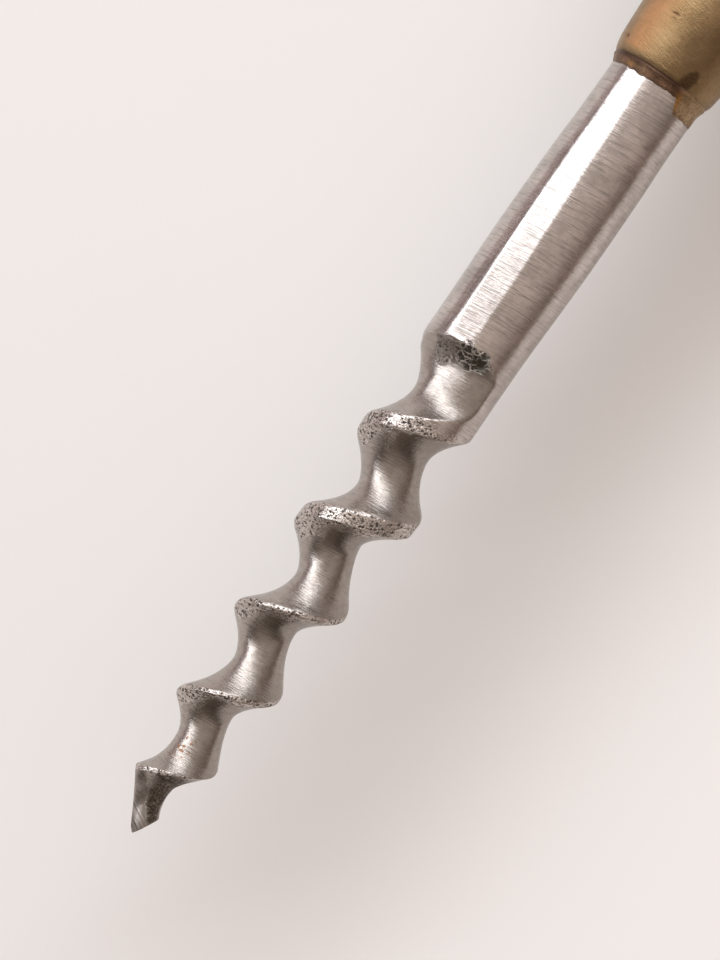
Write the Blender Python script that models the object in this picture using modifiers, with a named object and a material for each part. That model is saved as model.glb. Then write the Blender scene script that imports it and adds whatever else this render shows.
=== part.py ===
"""A hand awl with a spiral-fluted steel blade, a brass bolster and a turned wooden handle.

The tool lies on the flat of its handle. +X points to the tip, +Z is up, and the origin is on the
resting plane, half way along the tool. Run it with: blender --background --python part.py
"""

import math

import bmesh
import bpy
import numpy as np
from mathutils import Matrix, Vector

MM = 0.001

# Driving dimensions, in millimetres. A station is a distance from the tip, towards the butt.
TOTAL_LENGTH = 185.0
AXIS_HEIGHT = 11.5  # half the handle's thickness across its flats
FIT_GAP = 0.15  # clearance between pieces that touch in the real tool

# Blade: one helical flute, cut into a tapered rod.
WINDING = (  # (station, turns to the land's crossing of the +Y side at station 22.6)
    (0.0, -3.02), (3.75, -2.5), (7.3, -2.0), (11.0, -1.5), (14.65, -1.0), (18.95, -0.5), (22.6, 0.0),
    (27.2, 0.5), (31.15, 1.0), (35.6, 1.5), (39.95, 2.0), (46.2, 2.69),
)
FLUTE_PITCH = 8.25  # on average
FLUTE_TURNS = 1.89  # turns from that crossing to the flute's run-out, towards the butt
FLUTE_END = 46.2
LAND_WIDTHS = (  # (station, width). A negative width makes the crest a sharp ridge, below the rod.
    (5.0, 0.5), (7.3, -0.45), (11.0, 0.45), (24.0, 0.5), (27.5, 1.1), (31.0, 1.1), (34.0, 0.5),
)
CREST_ROUNDING = (  # (station, rounding)
    (6.5, 0.08), (10.0, 0.25), (24.0, 0.35), (37.0, 0.35), (39.5, 0.07), (42.6, 0.07), (43.6, 0.5),
)
FLUTE_LOW_POINT = 0.58  # share of the pitch from one land to the flute's deepest line
LOW_POINT_SHIFT = 0.1  # how much of that share goes for each millimetre that the floor lifts
LIFT_LIMIT = 2.5  # the lift at which the shift stops
WALL_POWER = 2.0  # steepness of the flute's walls
RUNOUT_WALL_POWER = 4.0  # the same where the flute runs out
STOP_POWER = 3  # steepness of the wall that ends the run-out
CORE_RADIUS = 1.38
CORE_SHIFT = 0.05  # how far the flute's core sits towards +Y
TIP_CORE_RADIUS = 0.4
CORE_TAPER_LENGTH = 8.0
PLUNGE_DEPTH = 1.88
PLUNGE_ANGLE = 80.0
EASE_DEPTH = 0.68
EASE_ANGLE = 700.0
RUNOUT_START = 42.6  # the flute's last wall rises from here
RUNOUT_END = 45.0
RUNOUT_ANGLE = 130.0  # the degrees wound back from the run-out in which the flute gets squarer
TAPER_STATION = 31.7  # the blade tapers from here to the tip
TAPER_RADIUS = 4.04
TAPER_POWER = 0.18
NOSE_STATION = 0.3  # the taper is blunt from here to the tip
SHANK_STATIONS = ((31.7, 4.04), (45.0, 3.86), (53.8, 4.0), (61.4, 3.96), (66.1, 3.84), (77.0, 3.82))
SHANK_END = 77.0
KINK_OFFSET = 0.34
KINK_START = 39.0
LEAN_SLOPE = 0.029

# Point: facets ground flat on the taper, each (facing, slope, offset).
# A facing is in degrees, up from the +Y side.
POINT_OFFSET = 0.46  # how far the point stands from the blade's axis, towards +Y
FACETS = (
    (180.0, 0.9, 0.02), (180.0, 0.565, 0.15), (137.0, 0.84, 0.02), (223.0, 0.84, 0.02), (0.0, 0.555, 0.02),
)

# A long flat ground on the shank's upper -Y side: (station, facing, half its width), both in degrees.
SHANK_FLAT = ((45.0, 109.0, 15.6), (52.0, 111.0, 15.4), (69.5, 120.5, 13.0))

# Tang: the blade's thinner end, which runs through the handle to a nut.
TANG_RADIUS = 2.6
TANG_END = 177.2

# Bolster: a brass neck, with a cup that holds the handle's tenon.
NECK_OUTLINE = (
    (70.05, 4.13), (70.4, 4.3), (70.9, 4.4), (71.8, 4.5), (74.0, 4.62), (77.0, 4.69), (83.0, 4.82),
    (88.0, 6.0), (91.5, 8.0), (93.5, 8.6),
)
CUP_END = 104.0
CUP_WALL = 1.2
CUP_FLOOR = 95.5

# Braze: the bronze filler where the shank enters the bolster.
BRAZE_OUTLINE = ((69.2, 4.05), (69.5, 4.09), (69.9, 4.15))
SHANK_BORE = 3.95
DRIP_STATION = 68.95
DRIP_RADIUS = 2.2
DRIP_RISE = 0.3
DRIP_ANGLE = 40.0  # degrees up from the +Y side

# Handle.
HANDLE_OUTLINE = (
    (104.2, 9.0), (106.5, 11.6), (111.0, 13.4), (120.0, 14.4), (134.0, 14.6), (150.0, 13.8), (165.0, 12.1),
    (175.0, 10.9), (180.0, 10.6),
)
COUNTERBORE_RADIUS = 5.6
COUNTERBORE_FLOOR = 172.0
BUTT_STATION = 180.0

# Washer, nut and butt cap.
WASHER_RADIUS = 5.2
WASHER_THICKNESS = 1.0
NUT_THICKNESS = 3.0
NUT_ACROSS_FLATS = 8.0
CAP_RADIUS = 10.3
CAP_BEVEL = 1.5
CAP_BOSS_STATION = 177.6

# Pins that lock the cup to the handle's tenon, one on each side.
PIN_RADIUS = 0.8
PIN_STATION = 99.6
PIN_TOP = 8.75
PIN_FOOT = 5.0

# Facets.
TURN_STEPS = 40
FLUTE_COLUMNS = 25
ROWS_PER_TURN = 22

TIP_X = TOTAL_LENGTH / 2
CUP_RADIUS = NECK_OUTLINE[-1][1]


def clear_scene():
    for obj in list(bpy.data.objects):
        bpy.data.objects.remove(obj)


def new_collection(name):
    collection = bpy.data.collections.new(name)
    bpy.context.scene.collection.children.link(collection)
    return collection


def make_material(name, colour, roughness, metallic):
    material = bpy.data.materials.new(name)
    material.use_nodes = True
    shader = material.node_tree.nodes["Principled BSDF"]
    shader.inputs["Base Color"].default_value = (*colour, 1.0)
    shader.inputs["Roughness"].default_value = roughness
    shader.inputs["Metallic"].default_value = metallic
    return material


def along_the_tool(obj):
    """Local +Z becomes the station, from tip to butt; local +X becomes up; local +Y stays."""
    obj.location = (TIP_X * MM, 0.0, AXIS_HEIGHT * MM)
    obj.rotation_euler = (0.0, -math.pi / 2, 0.0)


def add_object(name, mesh, collection, material=None):
    obj = bpy.data.objects.new(name, mesh)
    if material:
        mesh.materials.append(material)
    else:
        obj.hide_render = True
        obj.display_type = "WIRE"
    collection.objects.link(obj)
    return obj


def turned(name, outer, bore, collection, material=None):
    """A solid of revolution between outlines of (station, radius), each running from tip to butt."""
    outline = [*reversed(outer), *bore]
    points = [(radius * MM, 0.0, station * MM) for station, radius in outline]
    edges = [(i, i + 1) for i in range(len(points) - 1)]
    if bore:
        edges.append((len(points) - 1, 0))
    mesh = bpy.data.meshes.new(name)
    mesh.from_pydata(points, edges, [])
    obj = add_object(name, mesh, collection, material)
    along_the_tool(obj)
    screw = obj.modifiers.new("turn", "SCREW")
    screw.steps = TURN_STEPS
    screw.render_steps = TURN_STEPS
    screw.use_merge_vertices = True
    screw.merge_threshold = 0.00001
    screw.use_smooth_shade = True
    return obj


def prism(name, radius, start, end, sides, collection, material=None):
    """A prism or cylinder on the tool's axis, between two stations."""
    mesh = bmesh.new()
    depth = (end - start) * MM
    bmesh.ops.create_cone(
        mesh, cap_ends=True, segments=sides, radius1=radius * MM, radius2=radius * MM, depth=depth
    )
    bmesh.ops.translate(mesh, vec=(0.0, 0.0, (start + end) / 2 * MM), verts=mesh.verts)
    return finish_mesh(name, mesh, collection, material)


def finish_mesh(name, mesh, collection, material):
    data = bpy.data.meshes.new(name)
    mesh.to_mesh(data)
    mesh.free()
    data.shade_smooth()
    data.set_sharp_from_angle(angle=math.radians(35.0))
    obj = add_object(name, data, collection, material)
    along_the_tool(obj)
    return obj


def side_pin(name, side, radius, foot, top, collection, material=None):
    """A cylinder square to the axis, on the +Y side (side = 1) or the -Y side (side = -1)."""
    mesh = bmesh.new()
    bmesh.ops.create_cone(
        mesh, cap_ends=True, segments=16, radius1=radius * MM, radius2=radius * MM, depth=(top - foot) * MM
    )
    bmesh.ops.rotate(mesh, matrix=Matrix.Rotation(math.pi / 2, 3, "X"), verts=mesh.verts)
    offset = (0.0, side * (foot + top) / 2 * MM, PIN_STATION * MM)
    bmesh.ops.translate(mesh, vec=offset, verts=mesh.verts)
    return finish_mesh(name, mesh, collection, material)


def boolean(obj, other, operation="DIFFERENCE"):
    modifier = obj.modifiers.new(operation.lower() + "_" + other.name, "BOOLEAN")
    modifier.operation = operation
    modifier.solver = "EXACT"
    modifier.object = other


def smooth_outline(points, steps=3):
    """A Catmull-Rom curve through the points, with steps spans between each pair."""
    ends = [np.array(point) for point in (points[0], *points, points[-1])]
    curve = []
    for a, b, c, d in zip(ends, ends[1:], ends[2:], ends[3:]):
        for t in np.linspace(0.0, 1.0, steps, endpoint=False):
            bend = (2 * a - 5 * b + 4 * c - d) * t**2 + (3 * b - 3 * c + d - a) * t**3
            curve.append(tuple(b + ((c - a) * t + bend) / 2))
    return [*curve, points[-1]]


def smoothstep(x):
    x = np.clip(x, 0.0, 1.0)
    return x * x * (3.0 - 2.0 * x)


def body_radius(station):
    """The rod before the flute is cut: a slim ogive, then a shank that is a little barrelled."""
    if station < TAPER_STATION:
        return TAPER_RADIUS * (max(station, NOSE_STATION) / TAPER_STATION) ** TAPER_POWER
    return np.interp(station, *zip(*smooth_outline(SHANK_STATIONS)))


def land_turns(station, phase):
    """Turns from the land's +Y crossing to this column of the blade, towards the butt."""
    return np.interp(station, *zip(*smooth_outline(WINDING, 6))) - phase


def flute_lift(turned_degrees):
    """How far the flute's floor is above full depth, by the angle wound since its run-out."""
    plunge = PLUNGE_DEPTH * np.clip(1.0 - turned_degrees / PLUNGE_ANGLE, 0.0, 4.0) ** 2
    ease = EASE_DEPTH * np.clip(1.0 - (turned_degrees / EASE_ANGLE) ** 2, 0.0, 1.0)
    return plunge + ease


def flat_limit(station, angle, body):
    """How far a ray from the axis goes before it meets the shank's flat."""
    stations, facings, halves = zip(*SHANK_FLAT)
    if station < stations[0]:
        return body
    away = np.cos(angle - math.radians(np.interp(station, stations, facings)))
    level = body * math.cos(math.radians(np.interp(station, stations, halves)))
    return level / np.clip(away, level / body, 1.0)


def blade_section(station):
    """(angle up from the +Y side, radius) round the blade, one pair for each column of the grid."""
    phase = np.arange(FLUTE_COLUMNS) / FLUTE_COLUMNS
    turns = land_turns(station, phase)
    angle = -2.0 * math.pi * turns
    body = body_radius(station)
    turned_degrees = 360.0 * (FLUTE_TURNS - turns)
    lift = flute_lift(turned_degrees)
    core_taper = np.clip(1.0 - station / CORE_TAPER_LENGTH, 0.0, 1.0)
    core = CORE_RADIUS - (CORE_RADIUS - TIP_CORE_RADIUS) * core_taper + CORE_SHIFT * np.cos(angle)
    low = FLUTE_LOW_POINT - LOW_POINT_SHIFT * np.minimum(lift, LIFT_LIMIT)
    half_land = np.interp(station, *zip(*LAND_WIDTHS)) / FLUTE_PITCH / 2
    gentle = (low - phase) / (low - half_land)
    steep = (phase - low) / (1.0 - low - half_land)
    stop = max((station - RUNOUT_START) / (RUNOUT_END - RUNOUT_START), 0.0)
    wall = np.maximum(gentle, steep)
    share = np.clip(1.0 - turned_degrees / RUNOUT_ANGLE, 0.0, 1.0)
    power = WALL_POWER + (RUNOUT_WALL_POWER - WALL_POWER) * share
    flute = core + (body - core) * (wall**power + share * stop**STOP_POWER) + lift
    rounding = np.interp(station, *zip(*CREST_ROUNDING))
    closeness = np.clip(1.0 - abs(flute - body) / rounding, 0.0, 1.0)
    radius = np.minimum(body, flute) - rounding / 4.0 * closeness**2
    return angle, np.minimum(radius, flat_limit(station, angle, body))


def grind_point(mesh):
    """Cuts the facets of the point with planes, and closes each cut."""
    apex = POINT_OFFSET + axis_offset(0.0)
    for facing, slope, offset in FACETS:
        turn = math.radians(facing)
        outward = Vector((math.sin(turn), math.cos(turn), -slope))
        point = Vector((math.sin(turn) * offset, apex + math.cos(turn) * offset, 0.0)) * MM
        everything = [*mesh.verts, *mesh.edges, *mesh.faces]
        cut = bmesh.ops.bisect_plane(
            mesh, geom=everything, plane_co=point, plane_no=outward, clear_outer=True
        )
        rim = [part for part in cut["geom_cut"] if isinstance(part, bmesh.types.BMEdge)]
        bmesh.ops.edgenet_fill(mesh, edges=rim)


def axis_offset(station):
    """The blade's small sideways error: a kink where the flute starts, then a lean to the tip."""
    lean = KINK_OFFSET - LEAN_SLOPE * (TAPER_STATION - station)
    return lean * smoothstep((KINK_START - station) / (KINK_START - TAPER_STATION))


def blade_stations():
    fluted_rows = round(FLUTE_END / FLUTE_PITCH * ROWS_PER_TURN)
    fluted = np.linspace(0.0, FLUTE_END, fluted_rows + 1)
    shank = np.linspace(FLUTE_END, SHANK_END, 10)
    return np.concatenate([fluted, shank[1:]])


def make_blade(collection, material):
    """A grid rolled round the axis, whose columns follow the flute, closed at tip and tang."""
    sections = [(station, *blade_section(station)) for station in blade_stations()]
    last_angle = sections[-1][1]
    tang = np.full(FLUTE_COLUMNS, TANG_RADIUS)
    sections += [(SHANK_END, last_angle, tang), (TANG_END, last_angle, tang)]
    mesh = bmesh.new()
    rings = []
    for station, angles, radii in sections:
        side = axis_offset(station)
        ring = [
            mesh.verts.new((r * math.sin(a) * MM, (r * math.cos(a) + side) * MM, station * MM))
            for a, r in zip(angles, radii)
        ]
        rings.append(ring)
    for ring, following in zip(rings, rings[1:]):
        for i in range(FLUTE_COLUMNS):
            mesh.faces.new((ring[i - 1], ring[i], following[i], following[i - 1]))
    mesh.faces.new(rings[0])
    mesh.faces.new(rings[-1])
    grind_point(mesh)
    bmesh.ops.recalc_face_normals(mesh, faces=mesh.faces)
    return finish_mesh("blade", mesh, collection, material)


def make_bolster(collection, cutters, material):
    outer = [*smooth_outline(NECK_OUTLINE), (CUP_END, CUP_RADIUS)]
    tang_bore = TANG_RADIUS + FIT_GAP
    seat = SHANK_END + FIT_GAP
    cup_bore = CUP_RADIUS - CUP_WALL
    bore = [
        (NECK_OUTLINE[0][0], SHANK_BORE), (seat, SHANK_BORE), (seat, tang_bore), (CUP_FLOOR, tang_bore),
        (CUP_FLOOR, cup_bore), (CUP_END, cup_bore),
    ]
    bolster = turned("bolster", outer, bore, collection, material)
    for label, side in (("left", 1), ("right", -1)):
        hole = side_pin("pin_hole_" + label, side, PIN_RADIUS + FIT_GAP, PIN_FOOT, PIN_TOP + 1.0, cutters)
        boolean(bolster, hole)
    return bolster


def make_braze(collection, cutters, material):
    start = BRAZE_OUTLINE[0][0]
    end = BRAZE_OUTLINE[-1][0]
    bore = [(start, SHANK_BORE), (end, SHANK_BORE)]
    braze = turned("braze_fillet", BRAZE_OUTLINE, bore, collection, material)
    mesh = bmesh.new()
    bmesh.ops.create_uvsphere(mesh, u_segments=20, v_segments=12, radius=DRIP_RADIUS * MM)
    angle = math.radians(DRIP_ANGLE)
    reach = SHANK_BORE + DRIP_RISE - DRIP_RADIUS
    offset = (reach * math.sin(angle) * MM, reach * math.cos(angle) * MM, DRIP_STATION * MM)
    bmesh.ops.translate(mesh, vec=offset, verts=mesh.verts)
    drip = finish_mesh("drip", mesh, cutters, None)
    trim = prism("drip_trim", 8.0, end, end + 4.0, 24, cutters)
    bore_cutter = prism("braze_bore", SHANK_BORE, start - 4.0, end + 4.0, TURN_STEPS, cutters)
    boolean(braze, drip, "UNION")
    boolean(braze, bore_cutter)
    boolean(braze, trim)
    return braze


def make_handle(collection, cutters, material):
    tenon = CUP_RADIUS - CUP_WALL - FIT_GAP
    start = CUP_FLOOR + FIT_GAP
    shoulder = HANDLE_OUTLINE[0][0]
    outer = [(start, tenon), (shoulder, tenon), *smooth_outline(HANDLE_OUTLINE)]
    tang_bore = TANG_RADIUS + FIT_GAP
    bore = [
        (start, tang_bore), (COUNTERBORE_FLOOR, tang_bore), (COUNTERBORE_FLOOR, COUNTERBORE_RADIUS),
        (BUTT_STATION, COUNTERBORE_RADIUS),
    ]
    handle = turned("handle", outer, bore, collection, material)
    for label, level in (("lower", -1), ("upper", 1)):
        mesh = bmesh.new()
        bmesh.ops.create_cube(mesh, size=1.0)
        bmesh.ops.scale(mesh, vec=(20.0 * MM, 60.0 * MM, 120.0 * MM), verts=mesh.verts)
        offset = (level * (AXIS_HEIGHT + 10.0) * MM, 0.0, 140.0 * MM)
        bmesh.ops.translate(mesh, vec=offset, verts=mesh.verts)
        boolean(handle, finish_mesh("flat_" + label, mesh, cutters, None))
    for label, side in (("left", 1), ("right", -1)):
        foot = PIN_FOOT - FIT_GAP
        socket = side_pin("pin_socket_" + label, side, PIN_RADIUS + FIT_GAP, foot, tenon + 1.0, cutters)
        boolean(handle, socket)
    return handle


def make_pins(collection, material):
    for label, side in (("left", 1), ("right", -1)):
        side_pin("bolster_pin_" + label, side, PIN_RADIUS, PIN_FOOT, PIN_TOP, collection, material)


def make_butt(collection, cutters, steel, brass):
    """The washer and nut in the counterbore, and the cap that plugs it."""
    washer_start = COUNTERBORE_FLOOR + FIT_GAP
    washer_end = washer_start + WASHER_THICKNESS
    nut_start = washer_end + FIT_GAP
    nut_end = nut_start + NUT_THICKNESS
    tang_bore = TANG_RADIUS + FIT_GAP
    turned(
        "tang_washer", [(washer_start, WASHER_RADIUS), (washer_end, WASHER_RADIUS)],
        [(washer_start, tang_bore), (washer_end, tang_bore)], collection, steel,
    )
    nut_corner = NUT_ACROSS_FLATS / math.sqrt(3.0)
    nut = prism("tang_nut", nut_corner, nut_start, nut_end, 6, collection, steel)
    boolean(nut, prism("nut_bore", tang_bore, nut_start - 1.0, nut_end + 1.0, TURN_STEPS, cutters))
    boss = COUNTERBORE_RADIUS - FIT_GAP
    seat = BUTT_STATION + FIT_GAP
    bevel_angles = np.radians(np.linspace(90.0, 0.0, 6))
    bevel = [
        (TOTAL_LENGTH - CAP_BEVEL * (1 - math.cos(a)), CAP_RADIUS - CAP_BEVEL * (1 - math.sin(a)))
        for a in bevel_angles
    ]
    cap = [(CAP_BOSS_STATION, 0.0), (CAP_BOSS_STATION, boss), (seat, boss), (seat, CAP_RADIUS), *bevel]
    turned("butt_cap", [*cap, (TOTAL_LENGTH, 0.0)], [], collection, brass)


def main():
    clear_scene()
    parts = new_collection("scratch_awl")
    cutters = new_collection("cutters")
    steel = make_material("steel", (0.56, 0.55, 0.54), 0.32, 1.0)
    brass = make_material("brass", (0.80, 0.60, 0.33), 0.3, 1.0)
    bronze = make_material("bronze", (0.62, 0.40, 0.20), 0.42, 1.0)
    wood = make_material("wood", (0.32, 0.16, 0.07), 0.5, 0.0)
    make_blade(parts, steel)
    make_bolster(parts, cutters, brass)
    make_braze(parts, cutters, bronze)
    make_handle(parts, cutters, wood)
    make_pins(parts, brass)
    make_butt(parts, cutters, steel, brass)


main()
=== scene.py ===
"""The looks of a hand awl: spiral-fluted steel blade, brass bolster, turned wooden handle.

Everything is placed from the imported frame. A station is a distance in millimetres from the tip
towards the butt, along the tool's axis. Side is millimetres towards +Y and up is millimetres
above the axis. An angle is measured from the +Y side up to +Z.
"""

import math

import bpy
import numpy as np
from mathutils import Matrix, Vector, noise


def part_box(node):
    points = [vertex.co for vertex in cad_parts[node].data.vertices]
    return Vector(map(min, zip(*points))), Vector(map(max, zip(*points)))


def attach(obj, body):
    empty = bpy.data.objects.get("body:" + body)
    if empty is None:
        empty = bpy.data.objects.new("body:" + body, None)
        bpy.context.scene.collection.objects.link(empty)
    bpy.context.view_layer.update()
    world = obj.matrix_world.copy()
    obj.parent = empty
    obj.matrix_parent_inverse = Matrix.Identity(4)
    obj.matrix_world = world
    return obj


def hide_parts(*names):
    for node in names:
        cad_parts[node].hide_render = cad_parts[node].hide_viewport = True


MM = 0.001

# The blade, as in the CAD part, in millimetres.
WINDING = (
    (0.0, -3.02), (3.75, -2.5), (7.3, -2.0), (11.0, -1.5), (14.65, -1.0), (18.95, -0.5), (22.6, 0.0),
    (27.2, 0.5), (31.15, 1.0), (35.6, 1.5), (39.95, 2.0), (46.2, 2.69),
)
FLUTE_PITCH = 8.25
FLUTE_TURNS = 1.89
FLUTE_END = 46.2
LAND_WIDTHS = (
    (5.0, 0.5), (7.3, -0.45), (11.0, 0.45), (24.0, 0.5), (27.5, 1.1), (31.0, 1.1), (34.0, 0.5),
)
LAND_START = 4.5
LAND_END = 38.9
CREST_ROUNDING = (
    (6.5, 0.08), (10.0, 0.25), (24.0, 0.35), (37.0, 0.35), (39.5, 0.07), (42.6, 0.07), (43.6, 0.5),
)
FLUTE_LOW_POINT = 0.58
LOW_POINT_SHIFT = 0.1
LIFT_LIMIT = 2.5
WALL_POWER = 2.0
RUNOUT_WALL_POWER = 4.0
STOP_POWER = 3
CORE_RADIUS = 1.38
CORE_SHIFT = 0.05
TIP_CORE_RADIUS = 0.4
CORE_TAPER_LENGTH = 8.0
PLUNGE_DEPTH = 1.88
PLUNGE_ANGLE = 80.0
EASE_DEPTH = 0.68
EASE_ANGLE = 700.0
RUNOUT_START = 42.6
RUNOUT_END = 45.0
RUNOUT_ANGLE = 130.0
TAPER_STATION = 31.7
TAPER_RADIUS = 4.04
TAPER_POWER = 0.18
NOSE_STATION = 0.3
SHANK_STATIONS = ((31.7, 4.04), (45.0, 3.86), (53.8, 4.0), (61.4, 3.96), (66.1, 3.84), (77.0, 3.82))
SHANK_END = 77.0
TANG_RADIUS = 2.6
TANG_END = 177.2
KINK_OFFSET = 0.34
KINK_START = 39.0
LEAN_SLOPE = 0.029
POINT_OFFSET = 0.46
FACETS = (  # the point's ground planes: (facing, slope, offset)
    (180.0, 0.9, 0.02), (180.0, 0.565, 0.15), (137.0, 0.84, 0.02), (223.0, 0.84, 0.02),
    (0.0, 0.555, 0.02),
)

# A long flat, ground along the shank's upper -Y side.
SHANK_FLAT = (  # (station, facing from the vertical, half its width in degrees)
    (45.0, 19.0, 15.6), (52.0, 21.0, 15.4), (69.5, 30.5, 13.0),
)
FLAT_START = 44.0
FLAT_EDGE_ROUNDING = 0.035

# The blade's grid.
LAND_COLUMNS = 56
FLUTE_COLUMNS = 84
LAND_ZONE = 0.1
ROW_STEP = 0.075
SHANK_ROW_STEP = 0.3
VISIBLE_SHANK_END = 71.0

# Marks on the steel. A patch is (station, facing in degrees, half length, half width in degrees).
TONGUE_EDGE = (  # (station, side) where the facets stop and the scale begins
    (1.2, 0.9), (1.5, 0.1), (2.1, -0.3), (3.0, -0.85), (4.5, -1.0), (5.0, -1.2), (5.5, -0.3),
    (6.3, 0.5),
)
TONGUE_CORNER = (3.98, -1.95)
BURNT_PATCH = (44.35, 85.0, 0.9, 25.0)
SHOULDER_PATCH = (43.7, 131.0, 1.1, 17.0)
UNDERSIDE_DISH = (43.2, 180.0, 0.8, 40.0)
RUST_SPOT = (7.9, -0.75, 1.0, 0.75)

# Bolster, braze, handle, pins and cap, as in the CAD part, in millimetres.
NECK_START = 70.05
NECK_LIP = 4.13
NECK_OUTLINE = (
    (70.4, 4.3), (70.9, 4.4), (71.8, 4.5), (74.0, 4.62), (77.0, 4.69), (83.0, 4.82), (88.0, 6.0),
    (91.5, 8.0), (93.5, 8.6),
)
CUP_END = 104.0
CUP_WALL = 1.2
CUP_FLOOR = 95.5
FIT_GAP = 0.15
SHANK_BORE = 3.95
BRAZE_START = 67.9
BRAZE_END = 70.12
FILM_FRONT = 69.2
BRAZE_TONGUE_FACING = 22.0
BRAZE_TONGUE_HALF_WIDTH = 43.0
BRAZE_TONGUE_REACH = 1.05
HANDLE_START = 104.2
HANDLE_OUTLINE = (
    (106.5, 11.6), (111.0, 13.4), (120.0, 14.4), (134.0, 14.6), (150.0, 13.8), (165.0, 12.1),
    (175.0, 10.9),
)
FLAT_LEVEL = 11.5
COUNTERBORE_RADIUS = 5.6
COUNTERBORE_FLOOR = 172.0
BUTT_STATION = 180.0
TOTAL_LENGTH = 185.0
CAP_RADIUS = 10.3
CAP_BEVEL = 1.5
CAP_BOSS_STATION = 177.6
CAP_GROOVE = (181.3, 181.75)
CAP_GROOVE_DEPTH = 0.3
PIN_RADIUS = 0.8
PIN_STATION = 99.6
PIN_TOP = 8.75
PIN_FOOT = 5.0

# Marks on the brass and the braze, with a painted reflection on the brass and a painted glint on the
# braze, as patches.
STAINS = ((70.5, 67.0, 0.65, 9.0), (71.25, 64.0, 0.6, 7.0))
FAINT_STAIN = (73.0, 72.0, 2.6, 20.0)
# A painted reflection: a reddish band along the neck's upper -Y side, at this facing and half width,
# fading out towards this station.
PAINTED_REFLECTION_FACING = 138.0
PAINTED_REFLECTION_WIDTH = 17.0
PAINTED_REFLECTION_END = 85.0
DARK_PIT = (71.2, 154.0, 0.15, 2.3)
BRIGHT_PIT = (74.25, 115.0, 0.14, 3.0)
BRIGHT_PIT_RIM = (74.08, 115.0, 0.12, 2.2)
# The first patch is an amber tint; the second is a painted orange glint on the braze's upper -Y side.
AMBER_AND_GLINT_PATCHES = ((69.0, 62.0, 0.85, 7.0), (69.45, 131.0, 0.3, 10.0))

# The camera looks straight down, turned so that the blade runs from lower left to upper right.
VIEW_TURN = 55.0
VIEW_CENTRE_STATION = 31.98
VIEW_CENTRE_SIDE = -1.3
VIEW_HEIGHT = 73.15
LENS = 150.0
SENSOR = 36.0

# The board out of the picture, on the -Y side.
FLAG_NEAR = 61.0
FLAG_FAR = 140.0
FLAG_STATIONS = (-10.0, 120.0)


def smoothstep(x):
    x = np.clip(x, 0.0, 1.0)
    return x * x * (3.0 - 2.0 * x)


def smooth_outline(points, steps):
    """A Catmull-Rom curve through the points, with steps spans between each pair."""
    ends = [np.array(point, float) for point in (points[0], *points, points[-1])]
    curve = []
    for a, b, c, d in zip(ends, ends[1:], ends[2:], ends[3:]):
        for t in np.linspace(0.0, 1.0, steps, endpoint=False):
            bend = (2 * a - 5 * b + 4 * c - d) * t**2 + (3 * b - 3 * c + d - a) * t**3
            curve.append(tuple(b + ((c - a) * t + bend) / 2))
    return [*curve, points[-1]]


def sample_noise(points, scale, seed):
    """Perlin noise, about -1 to 1, at each row of points."""
    shifted = points * scale + np.array((seed * 17.3, seed * 5.1, seed * 9.7))
    return np.array([noise.noise(p) for p in shifted])


def sample_cells(points, scale, seed):
    """Distance to the nearest random cell centre, about 0 to 1, at each row of points."""
    shifted = points * scale + np.array((seed * 17.3, seed * 5.1, seed * 9.7))
    return np.array([noise.voronoi(p)[0][0] for p in shifted])


def spot(across, along, width, length):
    """A soft round spot: 1 at its centre and 0.37 at the width and length from it."""
    return np.exp(-((across / width) ** 2) - (along / length) ** 2)


def patch(station, degrees, place):
    """A soft spot on a turned surface, at a (station, facing, half length, half width in degrees)."""
    at, facing, length, width = place
    return spot(station - at, degrees - facing, length, width)


# ---------------------------------------------------------------- meshes


def add_mesh(name, points, faces, material, attributes=None, sharp=60.0):
    mesh = bpy.data.meshes.new(name)
    mesh.from_pydata(points, [], faces)
    for label, values in (attributes or {}).items():
        vector = values.ndim == 2
        layer = mesh.attributes.new(label, "FLOAT_VECTOR" if vector else "FLOAT", "POINT")
        layer.data.foreach_set("vector" if vector else "value", values.astype(np.float32).ravel())
    mesh.materials.append(material)
    mesh.shade_smooth()
    mesh.set_sharp_from_angle(angle=math.radians(sharp))
    obj = bpy.data.objects.new(name, mesh)
    bpy.context.scene.collection.objects.link(obj)
    return obj


def stand_in(obj, slot, *nodes):
    """The piece rides with the awl's one body and stands for the nodes. The slot is not used."""
    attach(obj, "root")
    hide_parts(*nodes)


def to_row_frame(station, side, up):
    """Millimetres from the tool's own axes to metres in the row frame."""
    return np.stack([TIP_X - station * MM, side * MM, AXIS_Z + up * MM], axis=-1)


def grid_faces(rows, columns, closed_rows=False):
    """Quads, facing out, of a grid that is closed across its columns, and along its rows if asked."""
    index = np.arange(rows * columns).reshape(rows, columns)
    if closed_rows:
        index = np.concatenate([index, index[:1]])
    following = np.roll(index, -1, axis=1)
    quads = np.stack([index[:-1], following[:-1], following[1:], index[1:]], axis=-1)
    return quads.reshape(-1, 4).tolist()


def rounded(outline, steps=5):
    """An outline of (station, radius, rounding) corners as points, with each corner rounded off."""
    points = [np.array(outline[0][:2], float)]
    for before, corner, after in zip(outline, outline[1:], outline[2:]):
        here = np.array(corner[:2], float)
        rounding = corner[2]
        if not rounding:
            points.append(here)
            continue
        back, ahead = (np.array(other[:2], float) - here for other in (before, after))
        start = here + back / np.hypot(*back) * rounding
        end = here + ahead / np.hypot(*ahead) * rounding
        for t in np.linspace(0.0, 1.0, steps):
            points.append((1 - t) ** 2 * start + 2 * t * (1 - t) * here + t**2 * end)
    return [*points, np.array(outline[-1][:2], float)]


def divided(points, longest):
    """The same outline with no span over the longest."""
    dense = [points[0]]
    for a, b in zip(points, points[1:]):
        count = max(1, math.ceil(float(np.hypot(*(np.subtract(b, a)))) / longest))
        dense += [np.add(a, np.subtract(b, a) * k / count) for k in range(1, count + 1)]
    return np.array(dense)


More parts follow.
